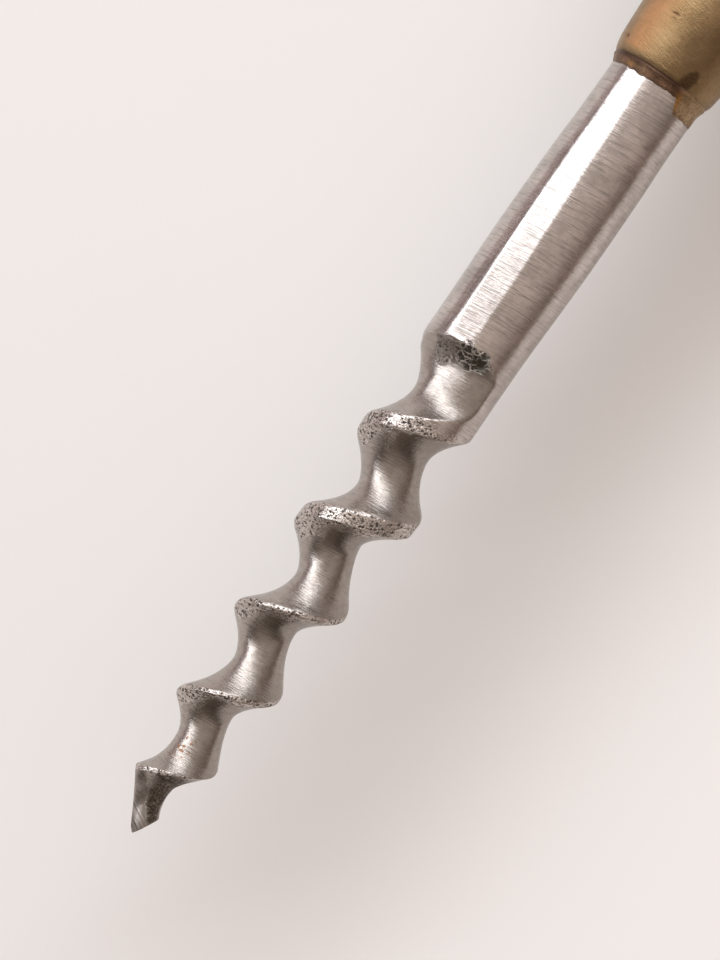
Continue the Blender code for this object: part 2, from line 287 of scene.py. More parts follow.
def turned_grid(outline, columns):
    """Stations, angles and radii of an outline turned about the axis."""
    angles = 2.0 * math.pi * np.arange(columns) / columns
    station, angle = np.meshgrid(outline[:, 0], -angles, indexing="ij")
    radius = np.repeat(outline[:, 1:2], columns, axis=1)
    return station, angle, radius


def polar(angle, radius):
    return radius * np.cos(angle), radius * np.sin(angle)


# ---------------------------------------------------------------- the blade's surface


def body_radius(station):
    ogive = TAPER_RADIUS * (np.maximum(station, NOSE_STATION) / TAPER_STATION) ** TAPER_POWER
    shank = np.interp(station, *zip(*smooth_outline(SHANK_STATIONS, 6)))
    return np.where(station < TAPER_STATION, ogive, shank)


def land_turns(station, phase):
    """Turns from the land's +Y crossing to this column of the blade, towards the butt."""
    return np.interp(station, *zip(*smooth_outline(WINDING, 6))) - phase


def flute_lift(turned_degrees):
    plunge = PLUNGE_DEPTH * np.clip(1.0 - turned_degrees / PLUNGE_ANGLE, 0.0, 4.0) ** 2
    ease = EASE_DEPTH * np.clip(1.0 - (turned_degrees / EASE_ANGLE) ** 2, 0.0, 1.0)
    return plunge + ease


def shank_flat(station, angle, radius):
    """The radius with the shank's long flat ground off, its edges a little rounded."""
    stations, facings, halves = zip(*SHANK_FLAT)
    facing = math.pi / 2 + np.radians(np.interp(station, stations, facings))
    away = np.cos(angle - facing)
    plane = radius * np.cos(np.radians(np.interp(station, stations, halves))) / np.maximum(away, 0.05)
    plane = plane + 0.15 * smoothstep((45.3 - station) / 0.6)
    near = np.clip(1.0 - abs(plane - radius) / FLAT_EDGE_ROUNDING, 0.0, 1.0)
    ground = np.minimum(plane, radius) - FLAT_EDGE_ROUNDING / 4.0 * near**2
    return np.where((away > 0.5) & (station > FLAT_START), ground, radius)


def axis_offset(station):
    lean = KINK_OFFSET - LEAN_SLOPE * (TAPER_STATION - station)
    return lean * smoothstep((KINK_START - station) / (KINK_START - TAPER_STATION))


def grid_centre(station):
    """Where the grid's rays start from. It moves from the blade's axis to the point at the tip."""
    return axis_offset(station) + POINT_OFFSET * np.clip(1.0 - station / 2.5, 0.0, 1.0) ** 2


def facet_limit(station, angle):
    """How far a ray from the grid's centre goes before it leaves one of the point's ground planes."""
    apex = axis_offset(0.0) + POINT_OFFSET
    nearest = np.full(station.shape, 99.0)
    for facing, slope, offset in FACETS:
        turn = math.radians(facing)
        towards = np.cos(angle - turn)
        room = slope * station + offset - math.cos(turn) * (grid_centre(station) - apex)
        limit = np.where(towards > 1e-3, room / np.maximum(towards, 1e-3), 99.0)
        nearest = np.minimum(nearest, limit)
    return nearest


def blade_phases():
    """Columns round the blade, close together on the land and its edges."""
    land = np.linspace(-LAND_ZONE, LAND_ZONE / 2, LAND_COLUMNS)
    flute = np.linspace(LAND_ZONE / 2, 1.0 - LAND_ZONE, FLUTE_COLUMNS + 1)[1:]
    return np.concatenate([land, flute[:-1]])[::-1]


def blade_surface(station, phase):
    """The angle, radius and depth of cut of the blade on a grid of stations and flute phases."""
    phase = phase % 1.0
    turns = land_turns(station, phase)
    angle = -2.0 * math.pi * turns
    body = body_radius(station)
    turned_degrees = 360.0 * (FLUTE_TURNS - turns)
    lift = flute_lift(turned_degrees)
    core_taper = np.clip(1.0 - station / CORE_TAPER_LENGTH, 0.0, 1.0)
    core = CORE_RADIUS - (CORE_RADIUS - TIP_CORE_RADIUS) * core_taper + CORE_SHIFT * np.cos(angle)
    low = FLUTE_LOW_POINT - LOW_POINT_SHIFT * np.minimum(lift, LIFT_LIMIT)
    half_land = np.interp(station, *zip(*LAND_WIDTHS)) / FLUTE_PITCH / 2
    gentle = (low - phase) / (low - half_land)
    steep = (phase - low) / (1.0 - low - half_land)
    wall = np.maximum(gentle, steep)
    stop = np.maximum((station - RUNOUT_START) / (RUNOUT_END - RUNOUT_START), 0.0)
    share = np.clip(1.0 - turned_degrees / RUNOUT_ANGLE, 0.0, 1.0)
    power = WALL_POWER + (RUNOUT_WALL_POWER - WALL_POWER) * share
    flute = core + (body - core) * (wall**power + share * stop**STOP_POWER) + lift
    rounding = np.interp(station, *zip(*CREST_ROUNDING))
    closeness = np.clip(1.0 - abs(flute - body) / rounding, 0.0, 1.0)
    radius = np.minimum(body, flute) - rounding / 4.0 * closeness**2
    cut = smoothstep((body - flute) / 0.1 + 0.5)
    return turns, angle, radius, cut


def blade_stations():
    fluted = np.arange(ROW_STEP, FLUTE_END, ROW_STEP)
    shank = np.arange(FLUTE_END, VISIBLE_SHANK_END, SHANK_ROW_STEP)
    return np.concatenate([fluted, shank, [VISIBLE_SHANK_END, SHANK_END]])


def scale_on_tongue(station, side, up, ragged):
    """The dark forging scale that the point's facets leave between them."""
    edge = np.interp(station, *zip(*TONGUE_EDGE))
    inside = smoothstep((side - edge + 0.3 * ragged) / 0.16)
    past, out = station - TONGUE_CORNER[0], side - TONGUE_CORNER[1]
    along = 0.88 * past - 0.47 * out
    across = 0.47 * past + 0.88 * out
    corner = 0.8 * smoothstep((spot(along, across, 0.9, 0.36) + 0.25 * ragged - 0.45) / 0.3)
    return np.maximum(inside * smoothstep((6.2 - station) / 0.9), corner) * (up > 0.0)


def make_blade(material):
    stations = blade_stations()
    phases = blade_phases()
    columns = len(phases)
    station, phase = np.meshgrid(stations, phases, indexing="ij")
    turns, angle, radius, cut = blade_surface(station, phase)
    radius = shank_flat(station, angle, radius)
    side, up = polar(angle, radius)
    points = np.stack([station, side, up], axis=-1).reshape(-1, 3)
    wrapped = np.degrees(np.arctan2(np.sin(angle), np.cos(angle)))
    ragged = sample_noise(points, 1.1, 1) + 0.5 * sample_noise(points, 2.9, 6)
    ragged = ragged.reshape(station.shape)

    # The land is what the flute left of the rod's old surface, and it is eaten by pits.
    from_land = np.where(phase % 1.0 > 0.5, phase % 1.0 - 1.0, phase % 1.0) * FLUTE_PITCH
    half_land = np.interp(station, *zip(*LAND_WIDTHS)) / 2
    reach = half_land + 0.5 + 0.7 * smoothstep((wrapped - 105.0) / 50.0)
    uncut = (1.0 - cut) * (from_land < 1.3)
    land = np.maximum(smoothstep((half_land + 0.09 - from_land) / 0.08), uncut)
    land = land * smoothstep((from_land + reach + 0.4 * ragged) / 0.25)
    land = land * smoothstep((LAND_END - station) / 0.9)
    land = land * smoothstep((station - LAND_START) / 0.5)
    # The same old surface shows where the flute runs out.
    burnt = 1.35 * patch(station, wrapped, BURNT_PATCH)
    burnt = smoothstep((burnt + 0.4 * ragged - 0.5) / 0.16)
    shoulder = patch(station, wrapped, SHOULDER_PATCH)
    shoulder = smoothstep((shoulder + 0.4 * ragged - 0.4) / 0.2)
    shoulder = shoulder * (1.0 - burnt)
    land = np.maximum(land * (1.0 - burnt), shoulder)
    tongue = scale_on_tongue(station, side + grid_centre(station), up, ragged)
    tongue = np.maximum(tongue, 0.55 * shoulder)
    scale = np.maximum(burnt, tongue)

    # Pits big enough to show in the shape. The material adds finer ones.
    rough = np.flatnonzero(np.maximum(land, scale).ravel() > 0.01)
    cells = np.ones(len(points))
    cells[rough] = 0.6 * sample_cells(points[rough], 3.6, 2) + 0.4 * sample_cells(points[rough], 7.0, 3)
    patches = np.zeros(len(points))
    patches[rough] = sample_noise(points[rough], 1.9, 4)
    pit = smoothstep((0.34 + 0.16 * patches - cells) / 0.16).reshape(station.shape)
    pit = pit * np.maximum(land, scale)

    waves = sample_noise(points, 0.55, 5).reshape(station.shape)
    radius = radius + 0.04 * waves * cut - 0.09 * pit - 0.035 * scale - 0.015 * land
    radius = radius - 0.2 * patch(station, abs(wrapped), UNDERSIDE_DISH)

    # Painted shade: the flutes are darkened on their upper side, from near the +Y side to just past the
    # top.
    painted_flute_shade = cut * smoothstep((114.0 - wrapped) / 24.0) * smoothstep((wrapped - 5.0) / 30.0)
    facet = facet_limit(station, angle)
    ground = smoothstep((radius - facet) / 0.06 + 0.5)
    radius = np.minimum(radius, np.maximum(facet, 0.0))
    ground = np.maximum(ground, smoothstep(2.6 - station)) * (1.0 - tongue)

    side, up = polar(angle, radius)
    side = side + grid_centre(station)
    rusty = patch(station, side, RUST_SPOT) * (up > 0.0)
    rings = to_row_frame(station, side, up).reshape(-1, 3)
    tang_section = polar(angle[-1], TANG_RADIUS)
    tang = [to_row_frame(np.full(columns, end), *tang_section) for end in (SHANK_END, TANG_END)]
    apex = to_row_frame(0.0, axis_offset(0.0) + POINT_OFFSET, 0.0).reshape(1, 3)
    vertices = np.concatenate([rings, *tang, apex])
    rows = len(stations) + 2
    faces = grid_faces(rows, columns)
    tip = rows * columns
    faces += [(tip, (i + 1) % columns, i) for i in range(columns)]
    faces.append(tuple(range((rows - 1) * columns, rows * columns)))
    extra = 2 * columns + 1

    def padded(values):
        return np.concatenate([values.ravel(), np.zeros(extra)])

    masks = {
        "land": land, "scale": tongue, "burnt": burnt, "pit": pit, "cut": cut, "ground": ground,
        "rusty": rusty, "painted_flute_shade": painted_flute_shade,
    }
    attributes = {label: padded(values) for label, values in masks.items()}
    stand_in(add_mesh("blade_steel", vertices, faces, material, attributes), "steel", "blade")


# ---------------------------------------------------------------- bolster, braze and pins


def crease_window(degrees):
    """How dark the crease between the braze and the brass is, by the angle round it."""
    return smoothstep((degrees - 60.0) / 14.0) * smoothstep((172.0 - degrees) / 24.0)


def make_bolster(material):
    lip = [(NECK_START, SHANK_BORE, 0.0), (NECK_START, NECK_LIP, 0.08)]
    neck = [(*point, 0.0) for point in smooth_outline(NECK_OUTLINE, 6)]
    cup_bore = NECK_OUTLINE[-1][1] - CUP_WALL
    tang_bore = TANG_RADIUS + FIT_GAP
    seat = SHANK_END + FIT_GAP
    cup = [
        (CUP_END, NECK_OUTLINE[-1][1], 0.35), (CUP_END, cup_bore, 0.15), (CUP_FLOOR, cup_bore, 0.3),
        (CUP_FLOOR, tang_bore, 0.0), (seat, tang_bore, 0.0), (seat, SHANK_BORE, 0.0), lip[0],
    ]
    points = rounded([*lip, *neck, *cup])[:-1]
    front = [p for p in points if p[0] < 76.0 and p[1] > SHANK_BORE + 0.01]
    rest = points[1 + len(front):]
    outline = np.concatenate([[points[0]], divided(front, 0.07), divided(rest, 0.35)])
    station, angle, radius = turned_grid(outline, 200)
    outside = radius > SHANK_BORE + 0.02
    outside &= ~((station > CUP_FLOOR - 0.1) & (radius < cup_bore + 0.2)) & ~(radius < 4.0)
    degrees = np.degrees(angle) % 360.0
    side, up = polar(angle, radius)
    points = np.stack([station, side, up], axis=-1).reshape(-1, 3)
    dents = sample_noise(points, 0.9, 11).reshape(station.shape)
    ragged = sample_noise(points, 3.2, 12).reshape(station.shape)

    stain = 1.4 * patch(station, degrees, STAINS[0])
    stain = stain + 1.1 * patch(station, degrees, STAINS[1])
    stain = smoothstep((stain + 0.3 * ragged - 0.2) / 0.95)
    faint = smoothstep(1.3 * patch(station, degrees, FAINT_STAIN) + 0.2 * ragged)
    stain = np.maximum(stain, 0.5 * faint)
    # Painted reflection: a reddish band along the neck's upper -Y side.
    painted_reflection = spot(0.0, degrees - PAINTED_REFLECTION_FACING, 1.0, PAINTED_REFLECTION_WIDTH)
    painted_reflection = painted_reflection * smoothstep((station - NECK_START - 0.3) / 0.5)
    painted_reflection = painted_reflection * smoothstep((PAINTED_REFLECTION_END - station) / 7.0)
    dark_pit = patch(station, degrees, DARK_PIT)
    bright_pit = patch(station, degrees, BRIGHT_PIT)
    crease = smoothstep((NECK_START + 0.34 + 0.06 * ragged - station) / 0.34)
    crease = crease * (0.15 + 0.85 * crease_window(degrees))
    pin_seat = 0.0
    for facing in (0.0, 180.0):
        turned = (degrees - facing + 180.0) % 360.0 - 180.0
        reach = np.hypot(station - PIN_STATION, np.radians(turned) * 8.6)
        pin_seat = pin_seat + np.exp(-(((reach - 0.98) / 0.17) ** 2))
    depth = 0.015 * dents + 0.16 * dark_pit - 0.09 * patch(station, degrees, BRIGHT_PIT_RIM)
    depth = depth + 0.14 * bright_pit + 0.05 * stain + 0.07 * pin_seat
    radius = radius - depth * outside
    side, up = polar(angle, radius)
    rows, columns = station.shape
    tarnish = np.maximum(crease, np.maximum(dark_pit, 0.7 * pin_seat * outside))
    attributes = {
        "stain": stain.ravel(), "tarnish": tarnish.ravel(), "painted_reflection": painted_reflection.ravel(),
        "inside": 1.0 - outside.ravel().astype(float),
    }
    vertices = to_row_frame(station, side, up).reshape(-1, 3)
    faces = grid_faces(rows, columns, closed_rows=True)
    stand_in(add_mesh("bolster_brass", vertices, faces, material, attributes, 50.0), "brass", "bolster")


def make_braze(material):
    """A ring of filler where the shank enters the neck, with a thin tongue run out along the shank."""
    outer = np.arange(BRAZE_START, BRAZE_END + 0.01, 0.045)
    columns = 260
    angles = -2.0 * math.pi * np.arange(columns) / columns
    station, angle = np.meshgrid(outer, angles, indexing="ij")
    degrees = np.degrees(angle) % 360.0
    side, up = polar(angle, 3.85)
    points = np.stack([station, side, up], axis=-1).reshape(-1, 3)
    ragged = sample_noise(points, 1.6, 21).reshape(station.shape)
    fine = sample_noise(points, 5.5, 22).reshape(station.shape)
    turned = (degrees - BRAZE_TONGUE_FACING + 180.0) % 360.0 - 180.0
    on_tongue = smoothstep((BRAZE_TONGUE_HALF_WIDTH - abs(turned)) / 9.0)
    front = FILM_FRONT - BRAZE_TONGUE_REACH * on_tongue + 0.13 * ragged + 0.05 * fine
    into = station - front
    film = 0.05 * smoothstep((into + 0.06) / 0.24)
    ring = 0.32 * smoothstep((station - 69.1 + 0.08 * ragged) / 1.1)
    crease = 0.08 * smoothstep((station - 69.85 + 0.04 * ragged) / 0.2)
    thick = film + ring - crease + 0.018 * fine
    radius = body_radius(station) + np.where(into > -0.08, thick, -0.12)
    inner = np.full_like(radius[:1], SHANK_BORE - 0.35)
    radius = np.concatenate([inner, radius, inner])
    station = np.concatenate([station[:1], station, station[-1:]])
    angle = np.concatenate([angle[:1], angle, angle[-1:]])
    side, up = polar(angle, radius)
    pad = np.zeros((1, columns))
    fine_pad = np.concatenate([pad, fine, pad])
    rows = len(station)
    at = np.degrees(angle) % 360.0
    dark = smoothstep((station - 69.5 + 0.1 * fine_pad) / 0.5)
    dark = dark * (0.1 + 0.9 * crease_window(at))
    rim = np.concatenate([pad, smoothstep((0.2 - into) / 0.16), pad])
    # An amber tint, and a painted glint on the upper -Y side.
    amber_and_glint = 1.1 * patch(station, at, AMBER_AND_GLINT_PATCHES[0]) + 0.7 * patch(station, at, AMBER_AND_GLINT_PATCHES[1])
    on_tongue = np.concatenate([pad, on_tongue, pad])
    attributes = {
        "dark": dark.ravel(), "rim": rim.ravel(), "amber_and_glint": amber_and_glint.ravel(), "tongue": on_tongue.ravel(),
    }
    vertices = to_row_frame(station, side, up).reshape(-1, 3)
    faces = grid_faces(rows, columns, closed_rows=True)
    filler = add_mesh("braze_ring", vertices, faces, material, attributes, 70.0)
    stand_in(filler, "bronze", "braze_fillet")


def make_pin(label, sign, material):
    """A pin hammered into its hole, with a low domed head."""
    outline = rounded([
        (PIN_FOOT, 0.12, 0.0), (PIN_FOOT, PIN_RADIUS, 0.15), (8.3, PIN_RADIUS, 0.2), (8.5, 0.92, 0.12),
        (8.66, 0.8, 0.1), (PIN_TOP - 0.01, 0.4, 0.2), (PIN_TOP, 0.1, 0.0),
    ])
    outline = divided(outline, 0.12)
    reach, angle, radius = turned_grid(outline, 48)
    along, up = polar(-angle * sign, radius)
    points = np.stack([reach, along, up], axis=-1).reshape(-1, 3)
    hammered = 0.03 * sample_noise(points, 2.2, 31 + sign).reshape(reach.shape) * (reach > 8.5)
    vertices = to_row_frame(PIN_STATION + along, sign * (reach - abs(hammered)), up).reshape(-1, 3)
    rows, columns = reach.shape
    faces = grid_faces(rows, columns)
    faces.append(tuple(range(columns))[::-1])
    faces.append(tuple(range((rows - 1) * columns, rows * columns)))
    pin = add_mesh("pin_head_" + label, vertices, faces, material)
    stand_in(pin, "brass", "bolster_pin_" + label)


# ---------------------------------------------------------------- handle and butt cap


def make_handle(material):
    tenon = NECK_OUTLINE[-1][1] - CUP_WALL - FIT_GAP
    start = CUP_FLOOR + FIT_GAP
    tang_bore = TANG_RADIUS + FIT_GAP
    body = [(*point, 0.0) for point in smooth_outline(HANDLE_OUTLINE, 8)]
    outline = rounded([
        (start, tang_bore, 0.0), (start, tenon, 0.2), (HANDLE_START, tenon, 0.0),
        (HANDLE_START, 9.0, 0.3), (105.0, 10.4, 0.5), *body, (BUTT_STATION, 10.6, 0.4),
        (BUTT_STATION, COUNTERBORE_RADIUS, 0.0),
        (COUNTERBORE_FLOOR, COUNTERBORE_RADIUS, 0.0), (COUNTERBORE_FLOOR, tang_bore, 0.0),
    ])
    outline = divided(outline, 0.6)
    station, angle, radius = turned_grid(outline, 220)
    side, up = polar(angle, radius)
    # The flats blend into the turned body over a narrow band, as if sanded.
    over = abs(up) - FLAT_LEVEL
    softness = 0.25
    eased = np.where(over > -softness, (over + softness) ** 2 / (4.0 * softness), 0.0)
    eased = np.where(over > softness, over, eased)
    up = np.sign(up) * np.minimum(abs(up) - eased, FLAT_LEVEL)
    points = np.stack([station * 0.25, side, up], axis=-1).reshape(-1, 3)
    outer = (radius > 8.0) & (station > 104.3) & (station < 179.8)
    dents = sample_noise(points, 0.35, 41).reshape(station.shape)
    off_flat = smoothstep((FLAT_LEVEL - 0.3 - abs(up)) / 0.6)
    shrink = 1.0 - 0.004 * smoothstep(dents * 2.0) * outer * off_flat
    edge = smoothstep((0.9 - abs(over)) / 0.9) * (abs(side) < 10.0) * outer
    ends = np.maximum(smoothstep((106.4 - station) / 1.6), smoothstep((station - 178.6) / 1.2)) * outer
    vertices = to_row_frame(station, side * shrink, up).reshape(-1, 3)
    attributes = {"worn": np.maximum(0.6 * edge, ends).ravel()}
    faces = grid_faces(*station.shape, closed_rows=True)
    stand_in(add_mesh("handle_wood", vertices, faces, material, attributes, 50.0), "wood", "handle")


def make_cap(material):
    boss = COUNTERBORE_RADIUS - FIT_GAP
    seat = BUTT_STATION + FIT_GAP
    near, far = CAP_GROOVE
    groove_radius = CAP_RADIUS - CAP_GROOVE_DEPTH
    outline = rounded([
        (CAP_BOSS_STATION, 0.3, 0.0), (CAP_BOSS_STATION, boss, 0.3), (seat, boss, 0.0),
        (seat, CAP_RADIUS, 0.25), (near, CAP_RADIUS, 0.0), (near, groove_radius, 0.1),
        (far, groove_radius, 0.1), (far, CAP_RADIUS, 0.12), (TOTAL_LENGTH, CAP_RADIUS, CAP_BEVEL),
        (TOTAL_LENGTH, 0.3, 0.0),
    ])
    outline = divided(outline, 0.3)
    station, angle, radius = turned_grid(outline, 180)
    side, up = polar(angle, radius)
    points = np.stack([station, side, up], axis=-1).reshape(-1, 3)
    knocks = smoothstep(sample_noise(points, 0.8, 51) * 2.6 - 0.8).reshape(station.shape)
    rim = smoothstep((station - 182.4) / 1.2) * smoothstep((radius - 7.2) / 1.4)
    radius = radius - 0.07 * knocks * rim
    side, up = polar(angle, radius)
    rows, columns = station.shape
    vertices = to_row_frame(station, side, up).reshape(-1, 3)
    faces = grid_faces(rows, columns)
    faces.append(tuple(range(columns))[::-1])
    faces.append(tuple(range((rows - 1) * columns, rows * columns)))
    groove = smoothstep((CAP_RADIUS - 0.08 - radius) / 0.15) * (abs(station - 181.52) < 0.35)
    blank = np.zeros(station.size)
    attributes = {
        "stain": 0.5 * (knocks * rim).ravel(), "tarnish": groove.ravel(), "painted_reflection": blank,
        "inside": blank,
    }
    stand_in(add_mesh("cap_brass", vertices, faces, material, attributes, 40.0), "brass", "butt_cap")


# ---------------------------------------------------------------- materials


class Nodes:
    """A short way to write a material's nodes."""

    def __init__(self, name):
        self.material = bpy.data.materials.new(name)
        self.material.use_nodes = True
        self.tree = self.material.node_tree
        self.shader = self.tree.nodes["Principled BSDF"]

    @classmethod
    def of_tree(cls, tree):
        """The same for a tree that isn't a material's."""
        nodes = cls.__new__(cls)
        nodes.tree = tree
        return nodes

    def add(self, kind, inputs=(), **settings):
        node = self.tree.nodes.new(kind)
        for key, value in settings.items():
            setattr(node, key, value)
        for key, value in dict(inputs).items():
            self.set(node.inputs[key], value)
        return node

    def set(self, socket, value):
        if isinstance(value, bpy.types.NodeSocket):
            self.tree.links.new(value, socket)
        else:
            socket.default_value = value

    def attribute(self, name, output="Fac"):
        return self.add("ShaderNodeAttribute", attribute_name=name).outputs[output]

    def math(self, operation, a, b=0.0, c=0.0, clamp=False):
        node = self.add("ShaderNodeMath", {0: a, 1: b, 2: c}, operation=operation, use_clamp=clamp)
        return node.outputs[0]

    def position(self):
        """Millimetres in the row frame."""
        place = self.add("ShaderNodeTexCoord").outputs["Object"]
        return self.scaled(place, (1000.0, 1000.0, 1000.0))

    def vector_math(self, operation, *vectors):
        return self.add("ShaderNodeVectorMath", dict(enumerate(vectors)), operation=operation).outputs

    def scaled(self, vector, scale):
        return self.vector_math("MULTIPLY", vector, scale)[0]

    def turned(self, vector, degrees):
        """The vector turned about Z."""
        inputs = {"Vector": vector, "Angle": math.radians(degrees)}
        return self.add("ShaderNodeVectorRotate", inputs, rotation_type="Z_AXIS").outputs[0]

    def noise(self, vector, scale=1.0, detail=2.0, roughness=0.5, distortion=0.0):
        inputs = {
            "Vector": vector, "Scale": scale, "Detail": detail, "Roughness": roughness,
            "Distortion": distortion,
        }
        return self.add("ShaderNodeTexNoise", inputs).outputs["Fac"]

    def cells(self, vector, scale):
        inputs = {"Vector": vector, "Scale": scale}
        return self.add("ShaderNodeTexVoronoi", inputs).outputs["Distance"]

    def ramp(self, value, low, high):
        """0 at low and 1 at high, with a soft step between. Low may be the larger."""
        inputs = {"Value": value, "From Min": low, "From Max": high}
        node = self.add("ShaderNodeMapRange", inputs, interpolation_type="SMOOTHSTEP")
        return node.outputs["Result"]

    def span(self, value, low, high):
        """value from 0 to 1, spread from low to high."""
        return self.math("MULTIPLY_ADD", value, high - low, low)

    def mix(self, factor, a, b, blend="MIX"):
        node = self.add("ShaderNodeMix", data_type="RGBA", blend_type=blend)
        for socket, value in ((node.inputs[0], factor), (node.inputs[6], a), (node.inputs[7], b)):
            self.set(socket, value)
        return node.outputs[2]

    def blend(self, factor, a, b):
        """Mixes two numbers."""
        node = self.add("ShaderNodeMix", {0: factor, 2: a, 3: b}, data_type="FLOAT")
        return node.outputs[0]

    def bump(self, height, distance, strength=1.0, normal=None):
        inputs = {"Height": height, "Distance": distance, "Strength": strength}
        node = self.add("ShaderNodeBump", inputs)
        if normal is not None:
            self.set(node.inputs["Normal"], normal)
        return node.outputs["Normal"]

    def finish(self, **sockets):
        for label, value in sockets.items():
            self.set(self.shader.inputs[label.replace("_", " ")], value)
        return self.material


def colour(red, green, blue):
    return (red, green, blue, 1.0)


def steel_material():
    n = Nodes("steel")
    place = n.position()
    cut = n.attribute("cut")
    land = n.attribute("land")
    scale = n.attribute("scale")
    burnt = n.attribute("burnt")
    ground = n.attribute("ground")

    # Grinding lines: round the tool, and across the point's facets.
    lines = n.noise(n.scaled(n.turned(place, -5.0), (9.0, 0.5, 0.5)), detail=4.0, roughness=0.65)
    facet_lines = n.noise(n.scaled(n.turned(place, 28.0), (4.0, 0.25, 0.25)), detail=2.0, roughness=0.5)
    lines = n.blend(ground, lines, facet_lines)
    cloud = n.noise(place, scale=0.5, detail=5.0, roughness=0.6)
    smudge = n.noise(place, scale=1.7, detail=5.0, roughness=0.7)
    grit = n.noise(place, scale=7.0, detail=4.0, roughness=0.7)
    scratches = n.noise(n.scaled(place, (5.0, 0.9, 0.9)), detail=2.0, distortion=0.4)
    scratch = n.ramp(scratches, 0.30, 0.24)

    # Pits eat the land. The run-out is a crust of holes with thin walls between them.
    warp = n.add("ShaderNodeTexNoise", {"Vector": place, "Scale": 3.0, "Detail": 2.0}).outputs["Color"]
    warped = n.vector_math("MULTIPLY_ADD", warp, (0.28, 0.28, 0.28), place)[0]
    density = n.span(n.noise(place, scale=1.1, detail=2.0), 0.16, 0.62)
    hole = n.math("MULTIPLY", n.math("SUBTRACT", density, n.cells(warped, 3.3)), 8.0, clamp=True)
    small = n.ramp(n.cells(warped, 6.5), 0.34, 0.20)
    eaten = n.math("MAXIMUM", hole, n.math("MULTIPLY", small, 0.75))
    eaten = n.math("MULTIPLY", eaten, land)
    eaten = n.math("MAXIMUM", eaten, n.math("MULTIPLY", n.attribute("pit"), 0.7))
    crater = n.noise(warped, scale=1.5, detail=4.0, roughness=0.62, distortion=0.7)
    inputs = {"Vector": warped, "Scale": 1.9}
    walls = n.add("ShaderNodeTexVoronoi", inputs, feature="DISTANCE_TO_EDGE").outputs["Distance"]
    hollow = n.math("MULTIPLY", n.ramp(walls, 0.04, 0.13), n.ramp(crater, 0.34, 0.42))
    hollow = n.math("MAXIMUM", hollow, n.ramp(crater, 0.49, 0.55))
    crust = n.noise(place, scale=4.2, detail=5.0, roughness=0.72, distortion=0.8)

    clean = n.mix(n.ramp(cloud, 0.38, 0.68), colour(0.59, 0.53, 0.50), colour(0.47, 0.42, 0.395))
    clean = n.mix(n.math("MULTIPLY", cut, 0.8), clean, colour(0.38, 0.335, 0.30))
    dirt = n.math("MULTIPLY", n.ramp(smudge, 0.46, 0.70), n.span(cut, 0.3, 0.8))
    clean = n.mix(dirt, clean, colour(0.30, 0.26, 0.22))
    # Painted shade: a mottled dark brown laid over the flutes' upper side.
    painted_flute_shade = n.math("MULTIPLY", n.attribute("painted_flute_shade"), n.span(n.ramp(smudge, 0.35, 0.6), 0.27, 0.45))
    clean = n.mix(painted_flute_shade, clean, colour(0.20, 0.175, 0.155))
    clean = n.mix(n.ramp(lines, 0.46, 0.72), clean, colour(0.32, 0.29, 0.265))
    clean = n.mix(n.math("MULTIPLY", scratch, 0.45), clean, colour(0.22, 0.19, 0.17))
    worn = n.mix(n.ramp(grit, 0.36, 0.62), colour(0.39, 0.335, 0.30), colour(0.72, 0.655, 0.61))
    furrow = n.math("MULTIPLY", ground, n.ramp(facet_lines, 0.40, 0.62))
    clean = n.mix(furrow, clean, colour(0.20, 0.18, 0.165))
    base = n.mix(land, clean, worn)
    crusty = n.mix(n.ramp(crust, 0.44, 0.68), colour(0.065, 0.047, 0.032), colour(0.36, 0.30, 0.245))
    base = n.mix(scale, base, crusty)
    holes = n.mix(hollow, colour(0.60, 0.54, 0.49), colour(0.04, 0.032, 0.018))
    base = n.mix(burnt, base, holes)
    base = n.mix(eaten, base, colour(0.10, 0.076, 0.060))
    specks = n.noise(place, scale=2.2, detail=3.0, roughness=0.6)
    rust = n.math("MULTIPLY", n.ramp(specks, 0.54, 0.60), n.ramp(n.attribute("rusty"), 0.2, 0.5))
    base = n.mix(rust, base, colour(0.24, 0.105, 0.045))

    normal = n.bump(lines, 0.00006, 0.6)
    normal = n.bump(smudge, 0.00005, 0.35, normal)
    normal = n.bump(eaten, -0.00010, 0.9, normal)
    normal = n.bump(n.math("MULTIPLY", crust, scale), 0.00020, 0.9, normal)
    normal = n.bump(n.math("MULTIPLY", hollow, burnt), -0.00020, 0.9, normal)
    normal = n.bump(n.math("MULTIPLY", grit, land), 0.00004, 0.6, normal)
    roughness = n.span(lines, 0.12, 0.30)
    roughness = n.math("MULTIPLY_ADD", cut, 0.05, roughness)
    roughness = n.math("MULTIPLY_ADD", ground, 0.24, roughness)
    roughness = n.math("MULTIPLY_ADD", n.math("MAXIMUM", scale, burnt), 0.22, roughness)
    roughness = n.math("MULTIPLY_ADD", eaten, 0.25, roughness)
    dull = n.math("MAXIMUM", n.math("MULTIPLY", eaten, 0.5), n.math("MULTIPLY", rust, 0.9))
    dull = n.math("MAXIMUM", dull, n.math("MULTIPLY", scale, 0.4))
    dull = n.math("MAXIMUM", dull, n.math("MULTIPLY", n.math("MULTIPLY", hollow, burnt), 0.8))
    return n.finish(
        Base_Color=base, Roughness=roughness, Metallic=n.math("SUBTRACT", 1.0, dull), Normal=normal
    )


